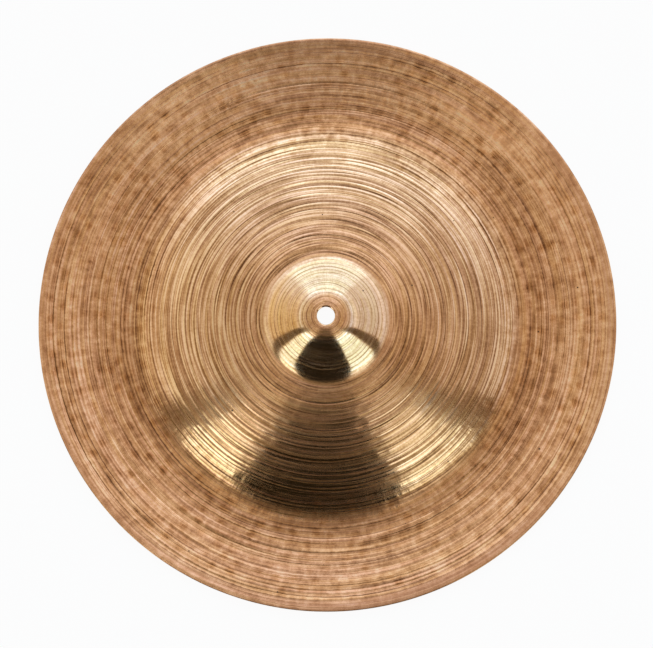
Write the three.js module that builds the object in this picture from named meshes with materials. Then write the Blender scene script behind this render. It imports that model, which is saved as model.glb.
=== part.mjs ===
// China cymbal: one round sheet of cast bronze, hammered to shape and turned on a lathe.
// Millimetres, +Z up. It lies bell upwards on its fold, with the origin on its axis in the plane it rests on.
//
// The sheet is drawn as its centreline, from the hole outwards: a level seat, the crown that falls gently from it,
// a shoulder, the bell's flank, the bell's foot, the domed bow, the fold that it stands on, and the flange that
// turns up to the rim.
// Slopes are in degrees, and positive where the sheet rises towards the rim.

import * as THREE from 'three';

const { degToRad, lerp } = THREE.MathUtils;

// Diameters, from the hole out to the rim
const holeDiameter = 12.5;
const seatDiameter = 16;
const crownDiameter = 28;
const bellDiameter = 92;
const foldDiameter = 286;
const overallDiameter = 406.4;

// Slopes of the sheet
const crownSlope = -6;
const flankSlope = -35;
const bowInnerSlope = -2.5;
const bowOuterSlope = -15;
const flangeInnerSlope = 4;
const flangeOuterSlope = 7;

// Bends between the slopes
const seatEdgeRadius = 20;
const shoulderRadius = 21;
const footRadius = 18;
const foldInnerRadius = 46;
const foldOuterRadius = 130;
const restWidth = 2.6;

// Wall of the sheet, thinning towards the rim
const bellWall = 1.15;
const foldWall = 0.9;
const rimWall = 0.75;
const holeBreak = 0.25;

// Facets
const segmentsAround = 80;
const seatEdgeSteps = 2;
const shoulderSteps = 5;
const footSteps = 4;
const bowSteps = 8;
const foldInnerSteps = 4;
const foldOuterSteps = 2;
const flangeSteps = 4;
const rimSteps = 4;

// Radii that follow from the sizes above
const holeRadius = holeDiameter / 2;
const seatRadius = seatDiameter / 2;
const crownRadius = crownDiameter / 2;
const bellRadius = bellDiameter / 2;
const restInnerRadius = (foldDiameter - restWidth) / 2;
const restOuterRadius = (foldDiameter + restWidth) / 2;
const centrelineEnd = (overallDiameter - rimWall * Math.cos(degToRad(flangeOuterSlope))) / 2;

// A point of the sheet's centreline, with the slope of the sheet there.
function station(radius, height, slope) {
  return { radius, height, slope: degToRad(slope) };
}

// The plan width of a bend of one radius between two slopes.
function bendRun(radius, fromSlope, toSlope) {
  return radius * Math.abs(Math.sin(degToRad(toSlope)) - Math.sin(degToRad(fromSlope)));
}

// Carries the centreline straight on to a radius.
function straightTo(line, radius) {
  const last = line.at(-1);
  const height = last.height + (radius - last.radius) * Math.tan(last.slope);
  line.push({ radius, height, slope: last.slope });
}

// Carries the centreline to a radius along an arc that turns it to a new slope.
function bendTo(line, radius, toSlope, steps) {
  const start = line.at(-1);
  const end = degToRad(toSlope);
  const arcRadius = (radius - start.radius) / (Math.sin(end) - Math.sin(start.slope));
  for (let step = 1; step <= steps; step += 1) {
    const slope = lerp(start.slope, end, step / steps);
    line.push({
      radius: start.radius + arcRadius * (Math.sin(slope) - Math.sin(start.slope)),
      height: start.height + arcRadius * (Math.cos(start.slope) - Math.cos(slope)),
      slope,
    });
  }
}

// The whole centreline, with the stretch that it rests on at height 0.
function centreline() {
  const seatEdgeRun = bendRun(seatEdgeRadius, 0, crownSlope);
  const shoulderRun = bendRun(shoulderRadius, crownSlope, flankSlope);
  const footRun = bendRun(footRadius, flankSlope, bowInnerSlope);
  const foldInnerRun = bendRun(foldInnerRadius, bowOuterSlope, 0);
  const foldOuterRun = bendRun(foldOuterRadius, 0, flangeInnerSlope);
  const line = [station(holeRadius + holeBreak, 0, 0)];
  straightTo(line, seatRadius);
  bendTo(line, seatRadius + seatEdgeRun, crownSlope, seatEdgeSteps);
  straightTo(line, crownRadius);
  bendTo(line, crownRadius + shoulderRun, flankSlope, shoulderSteps);
  straightTo(line, bellRadius - footRun);
  bendTo(line, bellRadius, bowInnerSlope, footSteps);
  bendTo(line, restInnerRadius - foldInnerRun, bowOuterSlope, bowSteps);
  bendTo(line, restInnerRadius, 0, foldInnerSteps);
  const restHeight = line.at(-1).height;
  straightTo(line, restOuterRadius);
  bendTo(line, restOuterRadius + foldOuterRun, flangeInnerSlope, foldOuterSteps);
  bendTo(line, centrelineEnd, flangeOuterSlope, flangeSteps);
  return line.map((point) => ({ ...point, height: point.height - restHeight }));
}

// The wall at a radius: even over the bell and over the stretch it rests on, and thinning in between.
function wallAt(radius) {
  const share = (from, to) => THREE.MathUtils.clamp((radius - from) / (to - from), 0, 1);
  const inner = lerp(bellWall, foldWall, share(bellRadius, restInnerRadius));
  return lerp(inner, rimWall, share(restOuterRadius, centrelineEnd));
}

// The point that lies a distance from the centreline, at an angle turned up from its outward direction.
function besideLine(point, distance, turn) {
  const angle = point.slope + turn;
  return new THREE.Vector2(
    point.radius + distance * Math.cos(angle),
    point.height + distance * Math.sin(angle) + foldWall / 2,
  );
}

// The sheet's closed cross-section, counter-clockwise from the underside of the hole.
function crossSection() {
  const line = centreline();
  const upwards = Math.PI / 2;
  const under = line.map((point) => besideLine(point, wallAt(point.radius) / 2, -upwards));
  const top = line.map((point) => besideLine(point, wallAt(point.radius) / 2, upwards));
  const rim = [];
  for (let step = 1; step < rimSteps; step += 1) {
    const turn = lerp(-upwards, upwards, step / rimSteps);
    rim.push(besideLine(line.at(-1), rimWall / 2, turn));
  }
  const holeTop = new THREE.Vector2(holeRadius, top[0].y - holeBreak);
  const holeUnder = new THREE.Vector2(holeRadius, under[0].y + holeBreak);
  const outline = [...under, ...rim, ...top.reverse(), holeTop, holeUnder];
  return [...outline, outline[0].clone()];
}

// The bronze sheet, turned about its axis.
function chinaCymbal() {
  const geometry = new THREE.LatheGeometry(crossSection(), segmentsAround);
  const bronze = new THREE.MeshStandardMaterial({ name: 'bronze', metalness: 1, roughness: 0.35 });
  bronze.color.setRGB(0.62, 0.37, 0.2);
  const mesh = new THREE.Mesh(geometry, bronze);
  mesh.name = 'china_cymbal';
  mesh.rotation.x = Math.PI / 2; // the lathe turns about Y
  return mesh;
}

const cymbal = new THREE.Group();
cymbal.add(chinaCymbal());

export default cymbal;
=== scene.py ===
"""A bronze china cymbal, turned, hammered and lathed, on a plain pale floor under soft studio light.

Lengths are in metres. The cymbal lies bell upwards on its fold, with +Z along its axis.
"""

import logging
import math
import random
from dataclasses import asdict, dataclass, field
from enum import Enum
from functools import partial, reduce
from typing import Any, NamedTuple, Sequence

import bpy
from mathutils import Matrix, Vector


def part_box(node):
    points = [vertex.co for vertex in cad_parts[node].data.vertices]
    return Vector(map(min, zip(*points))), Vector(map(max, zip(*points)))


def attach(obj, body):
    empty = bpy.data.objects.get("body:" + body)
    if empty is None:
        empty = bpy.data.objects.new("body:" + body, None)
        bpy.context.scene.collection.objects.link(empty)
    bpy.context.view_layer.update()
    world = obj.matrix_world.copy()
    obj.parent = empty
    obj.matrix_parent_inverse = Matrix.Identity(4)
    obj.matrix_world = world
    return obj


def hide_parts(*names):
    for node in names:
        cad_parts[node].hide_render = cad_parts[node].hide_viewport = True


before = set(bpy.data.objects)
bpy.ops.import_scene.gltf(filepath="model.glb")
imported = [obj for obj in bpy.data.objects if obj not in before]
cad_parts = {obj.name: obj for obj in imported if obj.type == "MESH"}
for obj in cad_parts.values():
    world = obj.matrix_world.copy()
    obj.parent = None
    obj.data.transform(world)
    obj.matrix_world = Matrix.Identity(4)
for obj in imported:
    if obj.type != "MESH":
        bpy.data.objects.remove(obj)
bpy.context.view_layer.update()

SHEET_NODE = "china_cymbal"
BODY = "root"
IMAGE_WIDTH = 653
IMAGE_HEIGHT = 648

FULL_TURN = 2 * math.pi
ORIGIN = (0.0, 0.0, 0.0)
LEVEL = (1.0, 1.0, 0.0)

Colour = tuple[float, float, float, float]

log = logging.getLogger("china_cymbal")


class Face(Enum):
    """The faces of the sheet, with the value that the mesh's "side" attribute has on each."""

    TOP = 1.0
    EDGE = 0.0
    UNDER = -1.0


class Graph:
    """A node tree, with short calls that add a node, feed its sockets and hand on an output."""

    def __init__(self, tree: bpy.types.NodeTree) -> None:
        """Wraps a tree.

        Args:
            tree: A shader, world or geometry node tree, or a group's tree.
        """
        self.tree = tree

    @classmethod
    def of(cls, owner: Any) -> "Graph":
        """Empties the node tree of a new material or world.

        Args:
            owner: The material or world.

        Returns:
            The graph to build it with.
        """
        owner.use_nodes = True
        owner.node_tree.nodes.clear()
        return cls(owner.node_tree)

    def add(self, kind: str, inputs: dict[Any, Any] | None = None, **settings: Any) -> bpy.types.Node:
        """Adds a node.

        Args:
            kind: The node's type name.
            inputs: Socket names or places, with the value or the output that each takes.
            **settings: Properties of the node, set before its inputs are fed.

        Returns:
            The new node.
        """
        node = self.tree.nodes.new(kind)
        for name, value in settings.items():
            setattr(node, name, value)
        for name, value in (inputs or {}).items():
            self.feed(self.socket(node.inputs, name), value)
        return node

    @staticmethod
    def socket(sockets: Any, name: Any) -> bpy.types.NodeSocket:
        """Finds a socket.

        Args:
            sockets: A node's inputs or outputs.
            name: The socket's place, or its name among those in use.

        Returns:
            The socket.
        """
        if isinstance(name, int):
            return sockets[name]
        return next(s for s in sockets if s.name == name and s.enabled)

    def feed(self, socket: bpy.types.NodeSocket, value: Any) -> None:
        """Links an output to a socket, or sets the socket's own value.

        Args:
            socket: The input to feed.
            value: An output, or a plain value.
        """
        if isinstance(value, bpy.types.NodeSocket):
            self.tree.links.new(value, socket)
        else:
            socket.default_value = value

    def out(self, kind: str, inputs: dict[Any, Any] | None = None, result: Any = 0, **settings: Any) -> Any:
        """Adds a node and returns one of its outputs."""
        return self.socket(self.add(kind, inputs, **settings).outputs, result)

    def math(self, operation: str, *values: Any) -> Any:
        """A Math node over one, two or three values."""
        return self.out("ShaderNodeMath", dict(enumerate(values)), operation=operation)

    def times(self, *values: Any) -> Any:
        """Numbers multiplied together."""
        return reduce(lambda product, value: self.math("MULTIPLY", product, value), values)

    def plus(self, *values: Any) -> Any:
        """Numbers added together."""
        return reduce(lambda total, value: self.math("ADD", total, value), values)

    def minus(self, first: Any, second: Any) -> Any:
        """A number less another."""
        return self.math("SUBTRACT", first, second)

    def over(self, first: Any, second: Any) -> Any:
        """A number divided by another."""
        return self.math("DIVIDE", first, second)

    def square(self, value: Any) -> Any:
        """A number squared."""
        return self.math("POWER", value, 2)

    def centred(self, value: Any) -> Any:
        """A number from 0 to 1, moved to lie evenly about 0."""
        return self.minus(value, 0.5)

    def vector(self, operation: str, *values: Any, result: Any = 0) -> Any:
        """A Vector Math node over one or two vectors."""
        return self.out("ShaderNodeVectorMath", dict(enumerate(values)), result, operation=operation)

    def length(self, vector: Any) -> Any:
        """A vector's length."""
        return self.vector("LENGTH", vector, result="Value")

    def scaled(self, vector: Any, scale: Any) -> Any:
        """A vector times a number."""
        return self.out("ShaderNodeVectorMath", {"Vector": vector, "Scale": scale}, operation="SCALE")

    def combine(self, x: Any = 0.0, y: Any = 0.0, z: Any = 0.0) -> Any:
        """A vector from its three parts."""
        return self.out("ShaderNodeCombineXYZ", {"X": x, "Y": y, "Z": z})

    def split(self, vector: Any) -> tuple[Any, Any, Any]:
        """The three parts of a vector."""
        node = self.add("ShaderNodeSeparateXYZ", {"Vector": vector})
        return node.outputs[0], node.outputs[1], node.outputs[2]

    def turned_to(self, radius: Any, angle: Any, height: Any = 0.0) -> Any:
        """The point at a radius and a height, turned about the axis by an angle."""
        x, y = (self.times(radius, self.math(part, angle)) for part in ("COSINE", "SINE"))
        return self.combine(x, y, height)

    def step(
        self, value: Any, start: Any, end: Any, low: Any = 0.0, high: Any = 1.0, how: str = "SMOOTHSTEP"
    ) -> Any:
        """A smooth step from low at start to high at end, level outside them."""
        span = {"Value": value, "From Min": start, "From Max": end, "To Min": low, "To Max": high}
        return self.out("ShaderNodeMapRange", span, "Result", interpolation_type=how)

    def ramp(self, value: Any, start: Any, end: Any, low: Any = 0.0, high: Any = 1.0) -> Any:
        """A straight ramp from low at start to high at end, level outside them."""
        return self.step(value, start, end, low, high, "LINEAR")

    def blend(self, share: Any, first: Any, second: Any, kind: str = "RGBA", how: str = "MIX") -> Any:
        """A colour, or a value of another kind, mixed from two by a share."""
        inputs = {"Factor": share, "A": first, "B": second}
        return self.out("ShaderNodeMix", inputs, "Result", data_type=kind, blend_type=how)

    def blend_values(self, share: Any, first: Any, second: Any) -> Any:
        """A number mixed from two by a share."""
        return self.blend(share, first, second, "FLOAT")

    def tinted(self, share: Any, colour: Any, tint: Any) -> Any:
        """A colour, multiplied by a tint as far as the share says."""
        return self.blend(share, colour, self.blend(1.0, colour, tint, how="MULTIPLY"))

    def noise(self, spot: Any, detail: Any = 1.0) -> Any:
        """Soft noise in three dimensions, with features of about unit size."""
        inputs = {"Vector": spot, "Scale": 1.0, "Detail": detail}
        return self.out("ShaderNodeTexNoise", inputs, noise_dimensions="3D")

    def use(self, tree: bpy.types.NodeTree, result: Any = 0, **inputs: Any) -> Any:
        """One output of a node group, with the group's inputs given by name, such as half_width."""
        named = {titled(name): value for name, value in inputs.items()}
        return self.out("ShaderNodeGroup", named, result, node_tree=tree)

    def named(self, label: str) -> Any:
        """A number that the mesh stores under a name, in a Geometry Nodes tree."""
        return self.out("GeometryNodeInputNamedAttribute", {"Name": label}, "Attribute", data_type="FLOAT")


def rgba(red: float, green: float, blue: float) -> Colour:
    """A linear colour with full alpha."""
    return red, green, blue, 1.0


def titled(name: str) -> str:
    """A value's name as a socket has it: Half Width for half_width."""
    return name.replace("_", " ").title()


def placed(name: str, data: Any) -> bpy.types.Object:
    """Puts a new object in the scene, at the origin.

    Args:
        name: The object's name.
        data: Its mesh or camera.

    Returns:
        The object.
    """
    thing = bpy.data.objects.new(name, data)
    bpy.context.scene.collection.objects.link(thing)
    return thing


@dataclass(frozen=True)
class Bend:
    """A stretch of the centreline over which the sheet turns evenly from one slope to another.

    A stretch between two equal slopes is straight. Slopes are in radians.
    """

    start: float
    end: float
    start_height: float
    start_slope: float
    end_slope: float

    def slope_at(self, radius: float) -> float:
        """Finds the sheet's slope.

        Args:
            radius: A radius within the stretch.

        Returns:
            The slope there, in radians.
        """
        share = (radius - self.start) / (self.end - self.start)
        low, high = math.sin(self.start_slope), math.sin(self.end_slope)
        return math.asin(low + share * (high - low))

    def height_at(self, radius: float) -> float:
        """Finds the centreline's height.

        Args:
            radius: A radius within the stretch.

        Returns:
            The height there.
        """
        turn = math.sin(self.end_slope) - math.sin(self.start_slope)
        if turn == 0:
            return self.start_height + (radius - self.start) * math.tan(self.start_slope)
        arc_radius = (self.end - self.start) / turn
        return self.start_height + arc_radius * (math.cos(self.start_slope) - math.cos(self.slope_at(radius)))


class SectionPoint(NamedTuple):
    """A point of the cross-section, with the value of its face and how far the lathe has cut, from 0 to 1."""

    radius: float
    height: float
    side: float
    cut: float = 0.0


@dataclass
class SheetSection:
    """The sheet's cross-section: the solid's regions and sizes, with the lathe's grooves cut in it."""

    overall_diameter: float
    hole_diameter: float = 0.0125
    seat_diameter: float = 0.016
    crown_diameter: float = 0.028
    bell_diameter: float = 0.092
    fold_diameter: float = 0.286
    rest_width: float = 0.0026

    crown_slope: float = -6
    flank_slope: float = -35
    bow_inner_slope: float = -2.5
    bow_outer_slope: float = -15
    flange_inner_slope: float = 4
    flange_outer_slope: float = 7

    seat_edge_radius: float = 0.020
    shoulder_radius: float = 0.021
    foot_radius: float = 0.018
    fold_inner_radius: float = 0.046
    fold_outer_radius: float = 0.130

    bell_wall: float = 0.00115
    fold_wall: float = 0.0009
    rim_wall: float = 0.00075
    hole_break: float = 0.00025

    ring_spacing: float = 0.00145
    ring_spread_share: float = 0.25
    under_ring_spacing: float = 0.0040
    groove_depth: float = 0.000022
    shallowest_share: float = 0.35
    scored_width: float = 0.0007
    scored_depth: float = 0.00005
    scored_clearance: float = 1.6
    scored_radii: tuple[float, ...] = (
        0.0338, 0.0362, 0.0597, 0.0788, 0.0835, 0.0902, 0.0995, 0.1088, 0.1147, 0.1202, 0.1527, 0.1712,
    )
    rim_steps: int = 6
    groove_seed: int = 7

    bends: list[Bend] = field(default_factory=list)
    rest_height: float = 0.0

    def __post_init__(self) -> None:
        """Lays out the centreline from the hole to the rim."""
        self.hole_radius = self.hole_diameter / 2
        self.bell_radius = self.bell_diameter / 2
        self.rest_inner = (self.fold_diameter - self.rest_width) / 2
        self.rest_outer = (self.fold_diameter + self.rest_width) / 2
        outer = math.radians(self.flange_outer_slope)
        self.line_end = (self.overall_diameter - self.rim_wall * math.cos(outer)) / 2
        self.line_start = self.hole_radius + self.hole_break
        seat_edge_end = self.seat_diameter / 2 + self.bend_run(self.seat_edge_radius, 0, self.crown_slope)
        shoulder_end = self.crown_diameter / 2 + self.bend_run(
            self.shoulder_radius, self.crown_slope, self.flank_slope
        )
        foot_run = self.bend_run(self.foot_radius, self.flank_slope, self.bow_inner_slope)
        foot_start = self.bell_radius - foot_run
        fold_start = self.rest_inner - self.bend_run(self.fold_inner_radius, self.bow_outer_slope, 0)
        fold_end = self.rest_outer + self.bend_run(self.fold_outer_radius, 0, self.flange_inner_slope)
        stretches = (
            (self.seat_diameter / 2, 0, 0),
            (seat_edge_end, 0, self.crown_slope),
            (self.crown_diameter / 2, self.crown_slope, self.crown_slope),
            (shoulder_end, self.crown_slope, self.flank_slope),
            (foot_start, self.flank_slope, self.flank_slope),
            (self.bell_radius, self.flank_slope, self.bow_inner_slope),
            (fold_start, self.bow_inner_slope, self.bow_outer_slope),
            (self.rest_inner, self.bow_outer_slope, 0),
            (self.rest_outer, 0, 0),
            (fold_end, 0, self.flange_inner_slope),
            (self.line_end, self.flange_inner_slope, self.flange_outer_slope),
        )
        radius, height = self.line_start, 0.0
        for end, start_slope, end_slope in stretches:
            bend = Bend(radius, end, height, math.radians(start_slope), math.radians(end_slope))
            self.bends.append(bend)
            radius, height = end, bend.height_at(end)
        self.rest_height = self.centre_at(self.rest_inner)[0]

    @staticmethod
    def bend_run(radius: float, from_slope: float, to_slope: float) -> float:
        """The plan width of a bend of one radius between two slopes in degrees."""
        return radius * abs(math.sin(math.radians(to_slope)) - math.sin(math.radians(from_slope)))

    def centre_at(self, radius: float) -> tuple[float, float]:
        """The centreline's height, from the hole's, and the slope at a radius."""
        bend = next((b for b in self.bends if radius <= b.end), self.bends[-1])
        return bend.height_at(radius), bend.slope_at(radius)

    def wall_at(self, radius: float) -> float:
        """Finds the sheet's wall, which thins towards the rim.

        Args:
            radius: Where on the centreline it is measured.

        Returns:
            How thick the wall is there.
        """
        inner = min(max((radius - self.bell_radius) / (self.rest_inner - self.bell_radius), 0), 1)
        outer = min(max((radius - self.rest_outer) / (self.line_end - self.rest_outer), 0), 1)
        wall = self.bell_wall + inner * (self.fold_wall - self.bell_wall)
        return wall + outer * (self.rim_wall - wall)

    def beside(self, radius: float, distance: float, turn: float) -> tuple[float, float]:
        """A point off the centreline.

        Args:
            radius: Where on the centreline it is measured from.
            distance: How far it lies from the centreline.
            turn: The angle up from the sheet's outward direction, in radians.

        Returns:
            The point's radius and height above the rest plane.
        """
        height, slope = self.centre_at(radius)
        angle = slope + turn
        lift = self.fold_wall / 2 - self.rest_height
        return radius + distance * math.cos(angle), height + lift + distance * math.sin(angle)

    def ring_radii(self, spacing: float, source: random.Random) -> list[float]:
        """Spaces one face's rings, a little unevenly, with a ring at each end of every bend.

        Args:
            spacing: The usual distance between two rings.
            source: Where the random numbers come from.

        Returns:
            The rings' radii, from the hole outwards.
        """
        radii = [self.line_start]
        for bend in self.bends:
            count = max(2, round((bend.end - bend.start) / spacing))
            weights = [1 + self.ring_spread_share * source.uniform(-1, 1) for _ in range(count)]
            reached = bend.start
            for weight in weights:
                reached += weight / sum(weights) * (bend.end - bend.start)
                radii.append(reached)
        return radii

    def cut_at(self, place: int, source: random.Random) -> float:
        """How deep the lathe has cut at a ring: every other ring is the floor of a groove."""
        return self.groove_depth * source.uniform(self.shallowest_share, 1) if place % 2 else 0.0

    def top_rings(self) -> list[tuple[float, float]]:
        """Lays out the top's rings: the lathe's fine grooves, and the scored lines among them.

        Returns:
            Each ring, from the hole outwards, as its radius and how deep the lathe has cut there.
        """
        source = random.Random(self.groove_seed)
        half = self.scored_width / 2
        rings = []
        for place, radius in enumerate(self.ring_radii(self.ring_spacing, source)):
            cut = self.cut_at(place, source)
            if all(abs(radius - scored) > self.scored_clearance * half for scored in self.scored_radii):
                rings.append((radius, cut))
        for scored in self.scored_radii:
            rings += [(scored - half, 0.0), (scored, self.scored_depth), (scored + half, 0.0)]
        return sorted(rings)

    def outline(self) -> list[SectionPoint]:
        """Draws the closed cross-section.

        Returns:
            Its points, counter-clockwise from the underside of the hole.
        """
        up = math.pi / 2
        source = random.Random(self.groove_seed + 1)
        points = []
        for place, radius in enumerate(self.ring_radii(self.under_ring_spacing, source)):
            cut = self.cut_at(place, source)
            if self.rest_inner <= radius <= self.rest_outer:
                cut = 0.0
            spot = self.beside(radius, self.wall_at(radius) / 2 - cut, -up)
            points.append(SectionPoint(*spot, Face.UNDER.value, cut / self.scored_depth))
        for step in range(1, self.rim_steps):
            turn = up * (2 * step / self.rim_steps - 1)
            spot = self.beside(self.line_end, self.rim_wall / 2, turn)
            points.append(SectionPoint(*spot, Face.EDGE.value))
        for radius, cut in reversed(self.top_rings()):
            spot = self.beside(radius, self.wall_at(radius) / 2 - cut, up)
            points.append(SectionPoint(*spot, Face.TOP.value, cut / self.scored_depth))
        for height in (points[-1].height - self.hole_break, points[0].height + self.hole_break):
            points.append(SectionPoint(self.hole_radius, height, Face.EDGE.value))
        return points


@dataclass(frozen=True)
class Hammering:
    """The hammer blows: a spiral of shallow dimples, struck row by row before the sheet was lathed.

    The dimples stay clear of the ring that the sheet rests on, fading in over a stretch beside it.
    """

    inner_radius: float = 0.047
    outer_radius: float = 0.1965
    row_spacing: float = 0.0080
    blow_spacing: float = 0.0132
    wander: float = 0.0040
    dimple_length: float = 0.0054
    dimple_width: float = 0.0048
    dimple_depth: float = 0.00004
    flat_share: float = 0.15
    weakest_blow: float = 0.4
    clear_from: float = 0.002
    clear_to: float = 0.006
    seed: int = 11


@dataclass
class CymbalSheet:
    """The cymbal: one sheet, turned from its cross-section by a Geometry Nodes tree, then hammered."""

    section: SheetSection
    hammering: Hammering
    finishes: dict[Face, bpy.types.Material]
    name: str = "cymbal_sheet"
    segments: int = 576
    bell_thinning: int = 4
    bow_thinning: int = 2
    bell_zone: float = 0.052
    bow_zone: float = 0.105
    weld: float = 1e-6

    def build(self) -> bpy.types.Object:
        """Builds the sheet.

        Returns:
            The finished piece, a plain mesh at the origin.
        """
        carrier = self.section_object()
        modifier = carrier.modifiers.new("turning", "NODES")
        modifier.node_group = self.tree()
        for label, value in self.tree_values().items():
            item = next(i for i in modifier.node_group.interface.items_tree if i.name == label)
            modifier[item.identifier] = value
        shown = carrier.evaluated_get(bpy.context.evaluated_depsgraph_get())
        mesh = bpy.data.meshes.new_from_object(shown)
        mesh.name = self.name
        bpy.data.objects.remove(carrier)
        return placed(self.name, mesh)

    def tree_values(self) -> dict[str, Any]:
        """Names the inputs of the tree.

        Returns:
            This sheet's value for each input, by the input's name.
        """
        sizes = ("segments", "bell_thinning", "bow_thinning", "bell_zone", "bow_zone")
        values = {size: getattr(self, size) for size in sizes} | asdict(self.hammering)
        values["rest_radius"] = self.section.fold_diameter / 2
        values |= {f"{face.name}_finish": finish for face, finish in self.finishes.items()}
        return {titled(name): value for name, value in values.items()}

    def section_object(self) -> bpy.types.Object:
        """Draws the cross-section as a closed line of edges in the XZ plane, which the tree turns about Z.

        Returns:
            The object that carries it, with its "side" and "cut" attributes.
        """
        outline = self.section.outline()
        count = len(outline)
        mesh = bpy.data.meshes.new("section")
        corners = [(point.radius, 0.0, point.height) for point in outline]
        mesh.from_pydata(corners, [(place, (place + 1) % count) for place in range(count)], [])
        for label in ("side", "cut"):
            attribute = mesh.attributes.new(label, "FLOAT", "POINT")
            attribute.data.foreach_set("value", [getattr(point, label) for point in outline])
        return placed("section", mesh)

    def tree(self) -> bpy.types.NodeTree:
        """Builds the Geometry Nodes tree that turns the cross-section into the hammered sheet.

        Returns:
            The tree, whose inputs are the cross-section and the sheet's named sizes and finishes.
        """
        tree = bpy.data.node_groups.new("turned_sheet", "GeometryNodeTree")
        face = tree.interface
        face.new_socket("Section", in_out="INPUT", socket_type="NodeSocketGeometry")
        kinds = {int: "NodeSocketInt", float: "NodeSocketFloat"}
        for label, value in self.tree_values().items():
            face.new_socket(label, in_out="INPUT", socket_type=kinds.get(type(value), "NodeSocketMaterial"))
        face.new_socket("Sheet", in_out="OUTPUT", socket_type="NodeSocketGeometry")
        g = Graph(tree)
        given = {socket.name: socket for socket in g.add("NodeGroupInput").outputs}
        sheet = self.dimpled(g, given, self.turned(g, given))
        sheet = g.out("GeometryNodeSetShadeSmooth", {"Geometry": sheet, "Shade Smooth": True})
        sheet = g.out("GeometryNodeRealizeInstances", {"Geometry": sheet})
        side = {"Value": g.named("side")}
        side = g.out("GeometryNodeFieldOnDomain", side, data_type="FLOAT", domain="FACE")
        half = (Face.TOP.value + Face.EDGE.value) / 2
        dressing = (
            (given["Edge Finish"], True),
            (given["Top Finish"], g.math("GREATER_THAN", side, half)),
            (given["Under Finish"], g.math("LESS_THAN", side, -half)),
        )
        for finish, where in dressing:
            chosen = {"Geometry": sheet, "Selection": where, "Material": finish}
            sheet = g.out("GeometryNodeSetMaterial", chosen)
        g.add("NodeGroupOutput", {"Sheet": sheet})
        return tree

    def turned(self, g: Graph, given: dict[str, Any]) -> Any:
        """Lays a grid on the lathe's rule, with fewer segments towards the hole, and welds its seams.

        Each row of the grid is a point of the cross-section, and each column a turn of it. The small numbers
        that are added before a division is rounded down keep a whole result from falling to the one below.

        Args:
            g: The tree.
            given: The tree's inputs by name.

        Returns:
            The turned sheet's geometry, with its "side" and "cut" attributes.
        """
        section = given["Section"]
        mesh = {"Geometry": section}
        counted = g.out("GeometryNodeAttributeDomainSize", mesh, "Point Count", component="MESH")
        columns = g.plus(given["Segments"], 1)
        rows = g.plus(counted, 1)
        grid = g.out("GeometryNodeMeshGrid", {"Vertices X": rows, "Vertices Y": columns}, "Mesh")
        index = g.out("GeometryNodeInputIndex")
        full_rows = g.math("FLOOR", g.over(g.plus(index, 0.5), columns))
        row = g.math("MODULO", full_rows, counted)
        column = g.minus(index, g.times(full_rows, columns))
        point = self.sampled(g, section, g.out("GeometryNodeInputPosition"), row, "FLOAT_VECTOR")
        radius, _, height = g.split(point)
        inner = g.math("LESS_THAN", radius, given["Bell Zone"])
        middle = g.math("LESS_THAN", radius, given["Bow Zone"])
        thinning = g.blend_values(middle, 1.0, given["Bow Thinning"])
        thinning = g.blend_values(inner, thinning, given["Bell Thinning"])
        steps = g.math("FLOOR", g.over(g.plus(column, 0.01), thinning))
        angle = g.times(g.over(g.times(steps, thinning), given["Segments"]), FULL_TURN)
        place = g.turned_to(radius, angle, height)
        sheet = g.out("GeometryNodeSetPosition", {"Geometry": grid, "Position": place})
        for label in ("side", "cut"):
            value = self.sampled(g, section, g.named(label), row, "FLOAT")
            sheet = self.stored(g, sheet, label, value)
        return g.out("GeometryNodeMergeByDistance", {"Geometry": sheet, "Distance": self.weld})

    def dimpled(self, g: Graph, given: dict[str, Any], sheet: Any) -> Any:
        """Strikes the hammer's dimples, through both faces alike, and stores how deep each point was struck.

        Args:
            g: The tree.
            given: The tree's inputs by name.
            sheet: The turned sheet's geometry.

        Returns:
            The sheet's geometry with its "hammer" attribute.
        """
        blows, blow_place, strength = self.blows(g, given)
        here = g.vector("MULTIPLY", g.out("GeometryNodeInputPosition"), LEVEL)
        search = {"Geometry": blows, "Sample Position": here}
        nearest = g.out("GeometryNodeSampleNearest", search, domain="POINT")
        struck = self.sampled(g, blows, blow_place, nearest, "FLOAT_VECTOR")
        force = self.sampled(g, blows, strength, nearest, "FLOAT")
        radius = g.length(here)
        away = g.length(g.vector("SUBTRACT", here, struck))
        across = g.minus(radius, g.length(struck))
        along = g.minus(g.square(away), g.square(across))
        along = g.math("SQRT", g.math("MAXIMUM", along, 0))
        reach = g.combine(g.over(across, given["Dimple Width"]), g.over(along, given["Dimple Length"]))
        hammered = g.times(g.step(g.length(reach), given["Flat Share"], 1.0, 1.0, 0.0), force)
        sheet = self.stored(g, sheet, "hammer", hammered)
        from_rest = g.math("ABSOLUTE", g.minus(radius, given["Rest Radius"]))
        clear = g.step(from_rest, given["Clear From"], given["Clear To"])
        free = g.times(g.math("ABSOLUTE", g.named("side")), clear)
        drop = g.times(hammered, free, given["Dimple Depth"], -1)
        return g.out("GeometryNodeSetPosition", {"Geometry": sheet, "Offset": g.combine(z=drop)})

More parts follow.
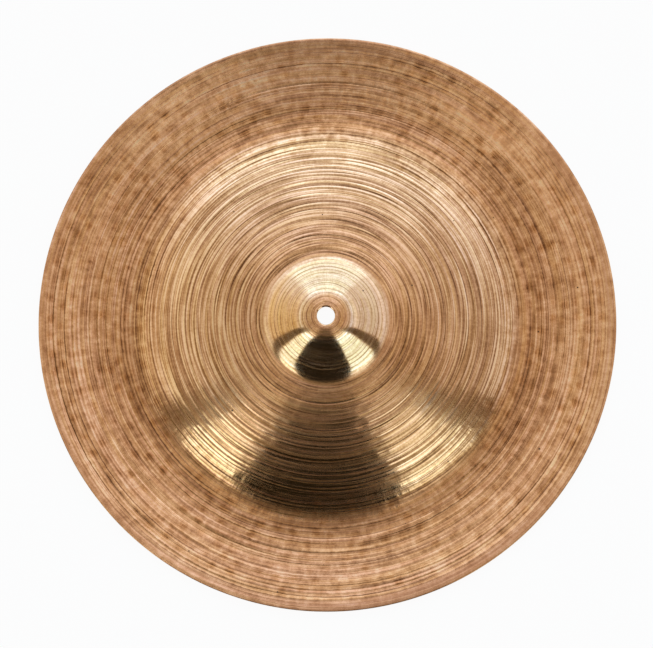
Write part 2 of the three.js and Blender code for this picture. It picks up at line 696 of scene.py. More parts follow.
    def blows(self, g: Graph, given: dict[str, Any]) -> tuple[Any, Any, Any]:
        """Lays out the hammer's blows, evenly spaced along a spiral, each a little off its place.

        Args:
            g: The tree.
            given: The tree's inputs by name.

        Returns:
            The points, their position field, and the field of how hard each blow was.
        """
        rows, first, last = given["Row Spacing"], given["Inner Radius"], given["Outer Radius"]
        cell = g.over(g.times(rows, given["Blow Spacing"]), math.pi)
        count = g.math("FLOOR", g.over(g.minus(g.square(last), g.square(first)), cell))
        index = g.out("GeometryNodeInputIndex")
        radius = g.math("SQRT", g.plus(g.square(first), g.times(index, cell)))
        spiral = g.turned_to(radius, g.over(g.times(radius, FULL_TURN), rows))
        spread = {"Min": (-0.5, -0.5, 0.0), "Max": (0.5, 0.5, 0.0), "Seed": given["Seed"]}
        wander = g.out("FunctionNodeRandomValue", spread, "Value", data_type="FLOAT_VECTOR")
        place = g.vector("ADD", spiral, g.scaled(wander, given["Wander"]))
        chance = {"Min": given["Weakest Blow"], "Max": 1.0, "Seed": g.plus(given["Seed"], 1)}
        strength = g.out("FunctionNodeRandomValue", chance, "Value", data_type="FLOAT")
        points = g.out("GeometryNodePoints", {"Count": count, "Position": place})
        return points, g.out("GeometryNodeInputPosition"), strength

    @staticmethod
    def sampled(g: Graph, geometry: Any, value: Any, index: Any, kind: str) -> Any:
        """A field's value at one point of another geometry."""
        inputs = {"Geometry": geometry, "Value": value, "Index": index}
        return g.out("GeometryNodeSampleIndex", inputs, "Value", data_type=kind, domain="POINT")

    @staticmethod
    def stored(g: Graph, geometry: Any, label: str, value: Any) -> Any:
        """The geometry with a named number stored at each point."""
        inputs = {"Geometry": geometry, "Name": label, "Value": value}
        return g.out("GeometryNodeStoreNamedAttribute", inputs, data_type="FLOAT", domain="POINT")


@dataclass(frozen=True)
class Fade:
    """A stretch, most often of radius, over which one look gives way to the next."""

    start: float
    end: float

    def beyond(self, g: Graph, place: Any, inside: float = 0.0, outside: float = 1.0) -> Any:
        """A smooth step across the stretch, from the value inside it to the one outside."""
        return g.step(place, self.start, self.end, inside, outside)

    def within(self, g: Graph, place: Any) -> Any:
        """The share of what ends at the stretch."""
        return self.beyond(g, place, 1.0, 0.0)


def group(
    label: str, inputs: dict[str, Any], outputs: Sequence[str]
) -> tuple[bpy.types.NodeTree, Graph, dict[str, Any]]:
    """Starts a shader node group.

    Args:
        label: The group's name.
        inputs: Its inputs by name, each with its usual value: a number or three numbers for a vector.
        outputs: The names of the values that it puts out.

    Returns:
        The group's tree, the graph to build it with, and its inputs by name.
    """
    tree = bpy.data.node_groups.new(label, "ShaderNodeTree")
    for name, value in inputs.items():
        kind = "NodeSocketVector" if isinstance(value, tuple) else "NodeSocketFloat"
        tree.interface.new_socket(name, in_out="INPUT", socket_type=kind).default_value = value
    for name in outputs:
        tree.interface.new_socket(name, in_out="OUTPUT", socket_type="NodeSocketFloat")
    g = Graph(tree)
    return tree, g, {socket.name: socket for socket in g.add("NodeGroupInput").outputs}


def polar(g: Graph, place: Any) -> tuple[Any, Any]:
    """Measures a place from the cymbal's axis.

    Args:
        g: The graph.
        place: The Object coordinates.

    Returns:
        The distance from the axis, and the level direction away from it.
    """
    x, y, _ = g.split(place)
    level = g.combine(x, y)
    return g.length(level), g.vector("NORMALIZE", level)


def ring_spot(g: Graph, across: Any, way: Any, change: Any) -> Any:
    """Where noise is read for marks that run in rings.

    Args:
        g: The group's graph.
        across: The place across the rings, in marks.
        way: The level direction away from the axis.
        change: How much the marks change on their way round: the radius of the circle they are read on.

    Returns:
        The spot, with the first part across the rings and the other two on the circle.
    """
    x, y, _ = g.split(g.scaled(way, change))
    return g.combine(across, x, y)


def lathe_lines_group() -> bpy.types.NodeTree:
    """The lines that the lathe's tool leaves: crisp bands round the axis, fading in and out as they go.

    Returns:
        The group, which puts out even bands as Height and thin grooves as Groove, from 0 to 1.
    """
    usual = {"Place": ORIGIN, "Shift": 0.0, "Pitch": 0.002, "Wander": 2.0, "Seed": 0.0}
    tree, g, given = group("lathe_lines", usual, ("Height", "Groove"))
    radius, way = polar(g, given["Place"])
    across = g.over(g.plus(radius, given["Shift"]), given["Pitch"])
    lines = g.noise(ring_spot(g, g.plus(across, given["Seed"]), way, given["Wander"]))
    band, groove = Fade(0.34, 0.66), Fade(0.30, 0.42)
    g.add("NodeGroupOutput", {"Height": band.beyond(g, lines), "Groove": groove.within(g, lines)})
    return tree


def scored_lines_group() -> bpy.types.NodeTree:
    """Single grooves, each cut once round the axis, unevenly spaced and some deeper than others.

    Returns:
        The group, which puts out how deep the grooves are, from 0 to 1.
    """
    usual = {"Place": ORIGIN, "Shift": 0.0, "Pitch": 0.004, "Half Width": 0.0004, "Wander": 1.6, "Seed": 0.0}
    usual |= {"Faintest": 0.4, "Unevenness": 1.4}
    tree, g, given = group("scored_lines", usual, ("Groove",))
    radius, way = polar(g, given["Place"])
    across = g.over(g.plus(radius, given["Shift"]), given["Pitch"])
    across = g.plus(across, given["Seed"])
    cells = g.add("ShaderNodeTexVoronoi", {"W": across, "Scale": 1.0}, voronoi_dimensions="1D")
    apart = g.times(cells.outputs["Distance"], given["Pitch"])
    depth, _, _ = g.split(cells.outputs["Color"])
    fading = g.noise(ring_spot(g, g.math("ROUND", across), way, given["Wander"]))
    fading = Fade(0.25, 0.6).beyond(g, fading, inside=given["Faintest"])
    line = g.step(apart, 0.0, given["Half Width"], low=1.0, high=0.0)
    strength = g.times(g.math("POWER", depth, given["Unevenness"]), fading)
    g.add("NodeGroupOutput", {"Groove": g.times(line, strength)})
    return tree


def ripples_group() -> bpy.types.NodeTree:
    """What the hammer leaves between its marks: low ripples, longer towards the rim than round the axis.

    Returns:
        The group, which puts out the ripples' height, from 0 to 1.
    """
    usual = {"Place": ORIGIN, "Length": 0.0065, "Count": 40.0, "Seed": 0.0}
    tree, g, given = group("ripples", usual, ("Height",))
    radius, way = polar(g, given["Place"])
    across = g.plus(g.over(radius, given["Length"]), given["Seed"])
    g.add("NodeGroupOutput", {"Height": g.noise(ring_spot(g, across, way, given["Count"]), detail=1.5)})
    return tree


def patches_group() -> bpy.types.NodeTree:
    """Uneven patches, such as tarnish: soft noise of one size over the surface.

    Returns:
        The group, which puts out the noise, from 0 to 1.
    """
    tree, g, given = group("patches", {"Place": ORIGIN, "Size": 0.05, "Detail": 2.0}, ("Value",))
    spot = g.scaled(given["Place"], g.over(1.0, given["Size"]))
    g.add("NodeGroupOutput", {"Value": g.noise(spot, given["Detail"])})
    return tree


def pits_group() -> bpy.types.NodeTree:
    """A few tiny dark pits in the metal, in a fifth of the cells of a plan.

    Returns:
        The group, which puts out 1 in a pit and 0 outside it.
    """
    usual = {"Place": ORIGIN, "Spacing": 0.03, "Radius": 0.0007, "Core": 0.4, "Spared": 0.8}
    usual |= {"Smallest": 0.5, "Largest": 1.3}
    tree, g, given = group("pits", usual, ("Pit",))
    x, y, _ = g.split(g.scaled(given["Place"], g.over(1.0, given["Spacing"])))
    plan = {"Vector": g.combine(x, y), "Scale": 1.0}
    cells = g.add("ShaderNodeTexVoronoi", plan, voronoi_dimensions="2D")
    apart = g.times(cells.outputs["Distance"], given["Spacing"])
    pick, size, _ = g.split(cells.outputs["Color"])
    radius = g.times(given["Radius"], g.ramp(size, 0.0, 1.0, given["Smallest"], given["Largest"]))
    pit = g.step(apart, g.times(radius, given["Core"]), radius, low=1.0, high=0.0)
    g.add("NodeGroupOutput", {"Pit": g.times(pit, g.math("GREATER_THAN", pick, given["Spared"]))})
    return tree


@dataclass(frozen=True)
class Effects:
    """The node groups that the finishes share."""

    lines: bpy.types.NodeTree
    scores: bpy.types.NodeTree
    ripples: bpy.types.NodeTree
    patches: bpy.types.NodeTree
    pits: bpy.types.NodeTree

    @classmethod
    def build(cls) -> "Effects":
        """Builds each group once."""
        return cls(lathe_lines_group(), scored_lines_group(), ripples_group(), patches_group(), pits_group())


@dataclass(frozen=True)
class Marks:
    """What the hammer, the lathe and use have left on the metal, each an output in a material's graph."""

    radius: Any
    outer: Any
    ripple: Any
    facets: Any
    smear: Any
    coarse: Any
    middle: Any
    fine: Any
    hue: Any
    grooves: Any
    patch: Any
    grit: Any
    pit: Any
    cut: Any
    skin: Any


@dataclass(frozen=True)
class LathedBronze:
    """A finish: bronze with the lathe's grain running round the axis, over the hammer's darker marks.

    The tone is how dark the metal is, from 0, just cut, to 1, a groove. Each share is what one kind of mark
    adds to it, or to the roughness. The fades are stretches of radius, except the last four: the two of the
    painted shade on the rim run across the sheet, from -1 on the far side to 1 at the front side, where it
    is darkest, and the skin's two are of how hard the hammer struck and how worn the skin is.
    """

    label: str
    effects: Effects

    shades: tuple[tuple[float, Colour], ...] = (
        (0.0, rgba(1.0, 0.675, 0.385)),
        (0.32, rgba(0.72, 0.412, 0.190)),
        (0.62, rgba(0.44, 0.219, 0.090)),
        (1.0, rgba(0.15, 0.063, 0.024)),
    )
    pit_colour: Colour = rgba(0.10, 0.06, 0.035)
    # painted highlight: a paler, bluer tint on the bell's flank, standing in for the cool light of its
    # highlights
    flank_highlight_tint: Colour = rgba(1.0, 1.15, 1.36)
    skin_tint: Colour = rgba(1.0, 0.90, 0.76)
    rosy: Colour = rgba(1.0, 0.99, 1.065)
    golden: Colour = rgba(1.0, 1.007, 0.935)
    fold_tint: Colour = rgba(1.0, 0.97, 0.96)
    flange_tint: Colour = rgba(1.11, 1.115, 1.16)
    # painted shade: a dark reddish-brown band along the rim, faint all round and darkest on the front side
    copper: Colour = rgba(0.38, 0.18, 0.09)
    copper_side: tuple[float, float, float] = (0.36, -0.93, 0.0)
    copper_ragged: float = 0.006
    copper_round_shares: tuple[float, float] = (0.10, 0.22)
    copper_near_share: float = 0.30

    tone: float = 0.24
    crown_tone: float = 0.14
    # painted highlight: the whole bell is lighter in colour, standing in for the light of its highlights
    bell_highlight_tone: float = -0.16
    fold_tone: float = 0.05
    coarse_share: float = 0.08
    line_share: float = 0.30
    fine_share: float = 0.50
    bell_line_share: float = 0.27
    flange_line_share: float = 0.55
    # the grooves' dark: partly oxide in them, partly painted shade
    score_share: float = 0.58
    cut_share: float = 0.464
    hammer_share: float = 0.2
    ripple_share: float = 0.6
    smear_share: float = 0.7
    grit_share: float = 0.42
    patch_share: float = 0.2
    bow_marks_share: float = 0.35
    bow_skin_share: float = 0.15
    ragged_share: float = 0.9
    worn_shares: tuple[float, float] = (0.25, 1.3)
    cut_through_shares: tuple[float, float] = (0.6, 1.4)

    roughness: float = 0.13
    tone_roughness: float = 0.08
    skin_roughness: float = 0.05
    groove_roughness: float = 0.2
    line_roughness: float = 0.1
    bell_calm: float = 0.4
    anisotropy: float = 0.85
    grain_turn: float = 0.25
    line_depth: float = 0.000008
    fine_depth: float = 0.000004
    ripple_depth: float = 0.00006
    facet_depth: float = 0.000012
    wobble: float = 0.0010

    crown_edge: Fade = Fade(0.014, 0.018)
    flank_start: Fade = Fade(0.0145, 0.0195)
    flank_end: Fade = Fade(0.038, 0.044)
    bell_end: Fade = Fade(0.040, 0.048)
    bow_start: Fade = Fade(0.040, 0.050)
    outer_start: Fade = Fade(0.108, 0.146)
    fold_start: Fade = Fade(0.112, 0.124)
    fold_end: Fade = Fade(0.142, 0.162)
    flange_start: Fade = Fade(0.150, 0.178)
    # where the rim's painted shade lies, and how it fades round the rim
    copper_start: Fade = Fade(0.1945, 0.1985)
    copper_round: Fade = Fade(-0.4, 0.3)
    copper_near: Fade = Fade(0.78, 0.98)
    skin_edge: Fade = Fade(-0.1, 1.1)
    worn: Fade = Fade(0.35, 0.65)

    def build(self) -> bpy.types.Material:
        """Makes the material.

        Returns:
            A material that reads Object coordinates and the sheet's "hammer" and "cut" attributes.
        """
        material = bpy.data.materials.new(self.label)
        g = Graph.of(material)
        place = g.out("ShaderNodeTexCoord", result="Object")
        marks = self.marks(g, place)
        tone = self.tone_of(g, marks)
        bump = self.bump(g, marks.fine, self.fine_depth)
        bump = self.bump(g, g.plus(marks.grooves, marks.middle), self.line_depth, bump, cut_in=True)
        bump = self.bump(g, g.times(marks.ripple, marks.outer), self.ripple_depth, bump)
        bump = self.bump(g, marks.facets, self.facet_depth, bump)
        shader = g.out(
            "ShaderNodeBsdfPrincipled",
            {
                "Base Color": self.colour_of(g, place, marks, tone),
                "Metallic": 1.0,
                "Roughness": self.roughness_of(g, marks, tone),
                "Anisotropic": self.anisotropy,
                "Anisotropic Rotation": self.grain_turn,
                "Normal": bump,
                "Tangent": g.out("ShaderNodeTangent", direction_type="RADIAL", axis="Z"),
            },
        )
        g.add("ShaderNodeOutputMaterial", {"Surface": shader})
        return material

    def marks(self, g: Graph, place: Any) -> Marks:
        """Lays out what the hammer, the lathe and use have left on the metal.

        Args:
            g: The material's graph.
            place: The Object coordinates.

        Returns:
            The marks, each an output of the graph.
        """
        radius, _ = polar(g, place)
        outer = self.outer_start.beyond(g, radius)
        at_fold = g.times(self.fold_start.beyond(g, radius), self.fold_end.within(g, radius))
        ripples = partial(g.use, self.effects.ripples, place=place)
        patches = partial(g.use, self.effects.patches, place=place)
        ripple = ripples(length=0.0065, count=40.0, seed=0.0)
        shift = g.times(g.centred(ripple), g.times(outer, self.wobble))
        lines = partial(g.use, self.effects.lines, place=place, shift=shift)
        scores = partial(g.use, self.effects.scores, place=place, shift=shift)
        fine = lines(pitch=0.0011, wander=1.8, seed=57.0)
        few = scores(pitch=0.0125, half_width=0.0006, seed=3.0)
        many = scores(pitch=0.0034, half_width=0.00045, seed=71.0)
        return Marks(
            radius=radius,
            outer=outer,
            ripple=ripple,
            facets=g.times(ripples(length=0.0070, count=60.0, seed=17.0), at_fold),
            smear=ripples(length=0.0042, count=9.0, seed=40.0),
            coarse=lines(pitch=0.0045, wander=0.7, seed=11.0),
            middle=lines("Groove", pitch=0.0019, wander=1.0, seed=31.0),
            fine=fine,
            hue=lines(pitch=0.0016, wander=1.3, seed=93.0),
            grooves=g.plus(few, many),
            patch=patches(size=0.035, detail=2.0),
            grit=patches(size=0.0014, detail=2.5),
            pit=g.use(self.effects.pits, place=place),
            cut=g.out("ShaderNodeAttribute", result="Fac", attribute_name="cut"),
            skin=self.skin(g, place, outer, fine),
        )

    def skin(self, g: Graph, place: Any, outer: Any, fine: Any) -> Any:
        """The darker skin left in the hammer's dimples.

        Args:
            g: The material's graph.
            place: The Object coordinates.
            outer: The share of the outer marks, which grows past the bow.
            fine: The lathe's fine lines, which cut through the skin.

        Returns:
            The skin's share of the surface, ragged at its edges and worn off in places.
        """
        hammer = g.out("ShaderNodeAttribute", result="Fac", attribute_name="hammer")
        ragged = g.centred(g.use(self.effects.patches, place=place, size=0.0032, detail=3.0))
        worn = g.use(self.effects.patches, place=place, size=0.022, detail=2.0)
        edge = g.plus(hammer, g.times(ragged, self.ragged_share))
        return g.times(
            self.skin_edge.beyond(g, edge),
            g.ramp(outer, 0.0, 1.0, low=self.bow_skin_share),
            g.ramp(worn, self.worn.start, self.worn.end, *self.worn_shares),
            g.ramp(fine, 0.0, 1.0, *self.cut_through_shares),
        )

    def tone_of(self, g: Graph, marks: Marks) -> Any:
        """Works out how dark the metal is.

        Args:
            g: The material's graph.
            marks: The marks on the metal.

        Returns:
            The tone at each place, from 0 to 1.
        """
        lines = self.sum(
            g,
            0.0,
            (g.centred(marks.coarse), self.coarse_share),
            (marks.middle, self.line_share),
            (g.centred(marks.fine), self.fine_share),
        )
        lines = g.times(
            lines,
            self.bow_start.beyond(g, marks.radius, inside=self.bell_line_share),
            g.ramp(marks.outer, 0.0, 1.0, low=1.0, high=self.flange_line_share),
        )
        hammered = g.ramp(marks.outer, 0.0, 1.0, low=self.bow_marks_share)
        return self.sum(
            g,
            self.tone,
            (lines, 1.0),
            (g.times(g.centred(marks.ripple), hammered), self.ripple_share),
            (g.times(g.centred(marks.smear), hammered), self.smear_share),
            (g.centred(marks.grit), self.grit_share),
            (g.centred(marks.patch), self.patch_share),
            # the grooves' dark: partly oxide in them, partly painted shade
            (marks.grooves, self.score_share),
            (marks.cut, self.cut_share),
            (marks.skin, self.hammer_share),
            # painted highlight: the bell made lighter in colour
            (self.bell_end.within(g, marks.radius), self.bell_highlight_tone),
            (g.times(marks.outer, self.flange_start.within(g, marks.radius)), self.fold_tone),
            (self.crown_edge.within(g, marks.radius), self.crown_tone),
        )

    def roughness_of(self, g: Graph, marks: Marks, tone: Any) -> Any:
        """Works out how rough the metal is: calmer on the bell than past it.

        Args:
            g: The material's graph.
            marks: The marks on the metal.
            tone: How dark the metal is.

        Returns:
            The roughness at each place.
        """
        past_bell = self.bow_start.beyond(g, marks.radius, inside=self.bell_calm)
        return self.sum(
            g,
            self.roughness,
            (tone, self.tone_roughness),
            (marks.skin, self.skin_roughness),
            (g.times(marks.grooves, past_bell), self.groove_roughness),
            (g.times(marks.cut, past_bell), self.groove_roughness),
            (g.times(g.centred(marks.fine), past_bell), self.line_roughness),
            (g.times(marks.middle, past_bell), self.line_roughness),
        )

    def colour_of(self, g: Graph, place: Any, marks: Marks, tone: Any) -> Any:
        """The metal's colour: its shade, rosier and more golden by lines, and tinted from ring to ring.

        A paler, bluer tint on the bell's flank is painted highlight.

        Args:
            g: The material's graph.
            place: The Object coordinates.
            marks: The marks on the metal.
            tone: How dark the metal is.

        Returns:
            The colour, with a dark reddish-brown painted shade along the rim, darkest at its front side, and
            the pits.
        """
        colour = g.blend(1.0, self.shade(g, tone), g.blend(marks.hue, self.golden, self.rosy), how="MULTIPLY")
        colour = g.tinted(marks.skin, colour, self.skin_tint)
        # Painted highlight: the bell's flank tinted paler and bluer.
        flank = g.times(self.flank_start.beyond(g, marks.radius), self.flank_end.within(g, marks.radius))
        colour = g.tinted(flank, colour, self.flank_highlight_tint)
        tint = g.blend(self.flange_start.beyond(g, marks.radius), self.fold_tint, self.flange_tint)
        colour = g.tinted(marks.outer, colour, tint)
        # Painted shade on the rim: darker and reddish-brown, faint all round and darkest on the front side.
        reach = g.vector("DOT_PRODUCT", place, self.copper_side, result="Value")
        towards = g.over(reach, marks.radius)
        faint = self.copper_round.beyond(g, towards, *self.copper_round_shares)
        share = g.plus(faint, self.copper_near.beyond(g, towards, outside=self.copper_near_share))
        inwards = g.minus(marks.radius, self.copper_ragged / 2)
        ragged_radius = g.math("MULTIPLY_ADD", marks.patch, self.copper_ragged, inwards)
        share = g.times(self.copper_start.beyond(g, ragged_radius), share)
        return g.blend(marks.pit, g.blend(share, colour, self.copper), self.pit_colour)

    def shade(self, g: Graph, tone: Any) -> Any:
        """Gives a tone its colour, from bright, where the tool has just cut, to the dark of a groove.

        Args:
            g: The material's graph.
            tone: How dark the metal is.

        Returns:
            The metal's colour, before any tint.
        """
        ramp = g.add("ShaderNodeValToRGB", {"Fac": tone})
        stops = ramp.color_ramp.elements
        while len(stops) < len(self.shades):
            stops.new(0.5)
        for stop, (position, colour) in zip(stops, self.shades):
            stop.position, stop.color = position, colour
        return ramp.outputs["Color"]

    @staticmethod
    def sum(g: Graph, start: float, *parts: tuple[Any, float]) -> Any:
        """Adds up parts, each by its share.

        Args:
            g: The material's graph.
            start: The number to start from.
            *parts: Each part, with its share.

        Returns:
            The number to start from, plus each part times its share.
        """
        total: Any = start
        for value, share in parts:
            total = g.math("MULTIPLY_ADD", value, share, total)
        return total

    @staticmethod
    def bump(g: Graph, height: Any, depth: float, under: Any = None, cut_in: bool = False) -> Any:
        """Raises the surface by a height, or cuts it in, with a Bump node.

        Args:
            g: The material's graph.
            height: The height, from 0 to 1.
            depth: How far 1 stands out.
            under: Another bump that this one lies over, if any.
            cut_in: Whether the height goes into the surface.

        Returns:
            The bumped normal.
        """
        inputs = {"Strength": 1.0, "Distance": depth, "Height": height}
        if under is not None:
            inputs["Normal"] = under
        return g.out("ShaderNodeBump", inputs, invert=cut_in)


@dataclass(frozen=True)
class Panel:
    """One part of the room, seen from the cymbal as a patch of directions.

    Angles are in degrees. Azimuths run from the front, positive to the picture's left, and heights down from
    straight up. The levels say how bright the panel is at such heights. An edge is the angle it lies at, from
    the panel's azimuth or from straight up, and the angle over which it fades.
    """

    azimuth: float
    sides: tuple[float, float]
    top: tuple[float, float]
    levels: tuple[tuple[float, float], ...]
    high_colour: Colour = rgba(1.0, 1.0, 1.0)
    low_colour: Colour = rgba(1.0, 1.0, 1.0)
    colour_change: tuple[float, float] = (14.0, 34.0)
    bottom: tuple[float, float] = (180.0, 1.0)

    def over(self, g: Graph, azimuth: Any, fall: Any, level: Any, colour: Any) -> tuple[Any, Any]:
        """Lays the panel over what is behind it.

        Args:
            g: The world's graph.
            azimuth: The direction's azimuth.
            fall: The direction's angle down from straight up.
            level: The level of the light behind the panel.
            colour: The colour behind the panel.

        Returns:
            The level and the colour with the panel in front.
        """
        aside = g.math("ABSOLUTE", g.math("WRAP", g.minus(azimuth, self.azimuth), 180.0, -180.0))
        mask = g.times(
            self.soft(g, aside, self.sides, 1.0, 0.0),
            self.soft(g, fall, self.top, 0.0, 1.0),
            self.soft(g, fall, self.bottom, 1.0, 0.0),
        )
        shown = self.levels[0][1]
        for (start, low), (end, high) in zip(self.levels, self.levels[1:]):
            shown = g.plus(shown, g.ramp(fall, start, end, high=high - low))
        tint = g.blend(g.step(fall, *self.colour_change), self.high_colour, self.low_colour)
        return g.blend_values(mask, level, shown), g.blend(mask, colour, tint)

    @staticmethod
    def soft(g: Graph, angle: Any, edge: tuple[float, float], before: float, after: float) -> Any:
        """A soft edge, from the value before it to the one after it."""
        place, fading = edge
        return g.step(angle, place - fading / 2, place + fading / 2, before, after)


ROOM = (
    Panel(  # the tent's sides
        azimuth=180, sides=(360, 1), top=(-9, 1),
        levels=((0, 0.28), (5, 0.44), (10, 0.51), (18, 0.56), (26, 0.66), (34, 0.79), (46, 0.96), (68, 0.68)),
        high_colour=rgba(1.28, 1.0, 0.74), low_colour=rgba(0.96, 1.0, 1.18), colour_change=(2, 36),
    ),
    Panel(  # the tent's warmer left side
        azimuth=98, sides=(45, 50), top=(12, 10),
        levels=((8, 0.48), (16, 0.55), (22, 0.73), (30, 0.76), (68, 0.58)),
        high_colour=rgba(1.04, 1.0, 0.95), low_colour=rgba(1.15, 1.0, 0.70), colour_change=(24, 60),
    ),
    Panel(  # the back wall, low down
        azimuth=180, sides=(48, 84), top=(24, 16),
        levels=((20, 0.8), (28, 0.92), (34, 1.2), (68, 1.1)),
        high_colour=rgba(1.06, 1.0, 1.04), low_colour=rgba(0.86, 1.0, 1.32), colour_change=(16, 36),
    ),
    Panel(  # the back wall, higher up
        azimuth=180, sides=(30, 40), top=(-9, 1), bottom=(42, 12),
        levels=((0, 0.30), (5, 0.47), (10, 0.78), (18, 1.0), (26, 0.98), (33, 1.60), (40, 1.95)),
        high_colour=rgba(1.08, 1.0, 1.08), low_colour=rgba(0.84, 1.0, 1.34), colour_change=(12, 36),
    ),
    Panel(  # the light on the back wall
        azimuth=180, sides=(34, 10), top=(38, 18), bottom=(82, 8),
        levels=((34, 1.75), (46, 1.72), (68, 1.6)), low_colour=rgba(0.73, 1.0, 1.38),
    ),
    Panel(  # the flag beside the left softbox
        azimuth=70, sides=(6.5, 4), top=(16, 10), bottom=(79, 8),
        levels=((20, 0.2), (40, 0.08)), low_colour=rgba(1.38, 1.0, 0.6),
    ),
    Panel(  # the flag beside the right softbox
        azimuth=-68.5, sides=(7.5, 4), top=(9, 8), bottom=(79, 8),
        levels=((8, 0.4), (18, 0.18), (40, 0.08)), low_colour=rgba(1.38, 1.0, 0.62),
    ),
    Panel(  # the front, near straight up
        azimuth=18, sides=(46, 30), top=(0, 10), bottom=(14, 8),
        levels=((0, 0.12), (4, 0.05), (9, 0.04)), high_colour=rgba(1.35, 1.0, 0.62),
    ),
    Panel(  # the left softbox
        azimuth=50.5, sides=(12.5, 3), top=(10, 6), bottom=(78, 8),
        levels=((8, 0.40), (14, 0.72), (20, 1.45), (28, 2.1), (40, 1.9), (60, 1.48)),
        high_colour=rgba(1.04, 1.0, 0.96), low_colour=rgba(0.79, 1.0, 1.12),
    ),
    Panel(  # the right softbox
        azimuth=-45, sides=(16.5, 3), top=(8, 6), bottom=(78, 8),
        levels=((8, 0.60), (14, 0.92), (20, 1.32), (28, 2.0), (40, 1.9), (60, 1.48)),
        high_colour=rgba(0.98, 1.0, 1.0), low_colour=rgba(0.73, 1.0, 1.21),
    ),
    Panel(  # the dark front
        azimuth=6.2, sides=(35.2, 2), top=(1, 8), bottom=(80, 8),
        levels=((0, 0.14), (5, 0.055), (9, 0.016), (20, 0.01)),
        high_colour=rgba(1.35, 1.0, 0.48), low_colour=rgba(1.35, 1.0, 0.48),
    ),
    Panel(  # the floor's edge
        azimuth=180, sides=(360, 1), top=(84, 6), levels=((0, 1.0),),
    ),
)


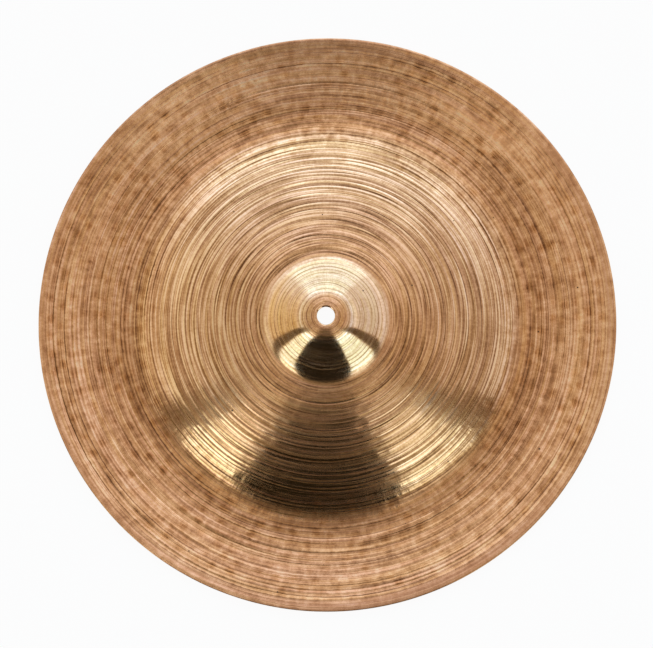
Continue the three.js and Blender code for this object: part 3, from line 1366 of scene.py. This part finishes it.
@dataclass
class Studio:
    """The pale floor, the room's light and the camera.

    The light that comes from low down in the room is a little warmer, between the two stretches of angle.
    """

    rim_height: float
    rim_radius: float
    room: tuple[Panel, ...] = ROOM
    low_tint: Colour = rgba(1.0, 0.865, 0.70)
    low_start: tuple[float, float] = (38.0, 50.0)
    low_end: tuple[float, float] = (80.0, 86.0)
    camera_distance: float = 1.6
    camera_tilt: float = 7.36
    camera_turn: float = 9.3
    sensor_width: float = 0.036
    rim_half_width_px: float = 288.96
    aim_px: tuple[float, float] = (326.7, 320.45)
    floor_size: float = 16.0
    floor_drop: float = 0.0003
    floor_colour: Colour = rgba(0.8, 0.8, 0.8)
    floor_whiteness: float = 0.94

    def build(self) -> None:
        """Builds the studio."""
        self.floor()
        self.world()
        self.camera()
        bpy.context.scene.view_settings.view_transform = "Standard"

    def camera(self) -> None:
        """Stands the camera almost above the cymbal, leaning towards the front, with +Y up in the picture."""
        data = bpy.data.cameras.new("camera")
        data.sensor_width = self.sensor_width * 1000
        data.sensor_fit = "HORIZONTAL"
        focal_px = self.rim_half_width_px * self.camera_distance / self.rim_radius
        data.lens = focal_px / IMAGE_WIDTH * data.sensor_width
        data.shift_x = -(self.aim_px[0] - IMAGE_WIDTH / 2) / IMAGE_WIDTH
        data.shift_y = (self.aim_px[1] - IMAGE_HEIGHT / 2) / IMAGE_WIDTH
        tilt, turn = math.radians(self.camera_tilt), math.radians(self.camera_turn)
        back = Vector((math.sin(tilt) * math.sin(turn), -math.sin(tilt) * math.cos(turn), math.cos(tilt)))
        right = Vector((0, 1, 0)).cross(back).normalized()
        up = back.cross(right)
        place = Vector((0, 0, self.rim_height)) + back * self.camera_distance
        camera = placed("camera", data)
        camera.matrix_world = Matrix.Translation(place) @ Matrix((right, up, back)).transposed().to_4x4()
        bpy.context.scene.camera = camera

    def floor(self) -> None:
        """A plain pale floor that looks white, and keeps a share of the cymbal's shadow."""
        half = self.floor_size / 2
        corners = [(-half, -half), (half, -half), (half, half), (-half, half)]
        mesh = bpy.data.meshes.new("floor")
        mesh.from_pydata([(x, y, -self.floor_drop) for x, y in corners], [], [(0, 1, 2, 3)])
        mesh.materials.append(self.floor_material())
        placed("floor", mesh)

    def floor_material(self) -> bpy.types.Material:
        """Makes the floor's finish.

        Returns:
            A material that is white to the camera and in reflections, pale in the light it throws back, and
            clear from below.
        """
        material = bpy.data.materials.new("pale_floor")
        g = Graph.of(material)
        path = g.add("ShaderNodeLightPath")
        seen = g.math("MAXIMUM", path.outputs["Is Camera Ray"], path.outputs["Is Glossy Ray"])
        seen = g.math("MAXIMUM", seen, path.outputs["Is Transmission Ray"])
        pale = g.out("ShaderNodeBsdfDiffuse", {"Color": self.floor_colour})
        white = g.out("ShaderNodeEmission", {"Color": rgba(1.0, 1.0, 1.0), "Strength": 1.0})
        mixed = g.out("ShaderNodeMixShader", {0: g.times(seen, self.floor_whiteness), 1: pale, 2: white})
        clear = g.out("ShaderNodeBsdfTransparent")
        behind = g.out("ShaderNodeNewGeometry", result="Backfacing")
        shown = g.out("ShaderNodeMixShader", {0: behind, 1: mixed, 2: clear})
        g.add("ShaderNodeOutputMaterial", {"Surface": shown})
        return material

    def world(self) -> None:
        """The light of the room, by direction: each panel laid over those before it."""
        world = bpy.data.worlds.new("room")
        g = Graph.of(world)
        x, y, z = g.split(g.out("ShaderNodeTexCoord", result="Generated"))
        fall = g.math("DEGREES", g.math("ARCCOSINE", z))
        azimuth = g.math("DEGREES", g.math("ARCTAN2", g.times(x, -1), g.times(y, -1)))
        level: Any = 1.0
        colour: Any = rgba(1.0, 1.0, 1.0)
        for panel in self.room:
            level, colour = panel.over(g, azimuth, fall, level, colour)
        low = g.times(g.step(fall, *self.low_start), g.step(fall, *self.low_end, low=1.0, high=0.0))
        colour = g.tinted(low, colour, self.low_tint)
        shine = g.out("ShaderNodeBackground", {"Color": colour, "Strength": level})
        g.add("ShaderNodeOutputWorld", {"Surface": shine})
        bpy.context.scene.world = world


def main() -> None:
    """Builds the studio and the cymbal, and reports the piece."""
    logging.basicConfig(level=logging.INFO, format="%(name)s: %(message)s")
    low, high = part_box(SHEET_NODE)
    section = SheetSection(overall_diameter=high.x - low.x)
    rim_height = section.beside(section.line_end, 0.0, 0.0)[1]
    effects = Effects.build()
    finishes = {
        Face.TOP: LathedBronze("lathed_top", effects).build(),
        Face.UNDER: LathedBronze(
            "lathed_under", effects, tone=0.34, roughness=0.3, line_share=0.2, fine_share=0.34,
            ripple_share=0.25, smear_share=0.25, grit_share=0.2, hammer_share=0.12,
        ).build(),
        Face.EDGE: LathedBronze("turned_edge", effects, hammer_share=0.0, tone=0.5).build(),
    }
    sheet = CymbalSheet(section, Hammering(), finishes).build()
    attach(sheet, BODY)
    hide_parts(SHEET_NODE)
    log.info("%s: %d triangles", sheet.name, sum(len(face.vertices) - 2 for face in sheet.data.polygons))
    Studio(rim_height=rim_height, rim_radius=(high.x - low.x) / 2).build()


if __name__ == "__main__":
    main()
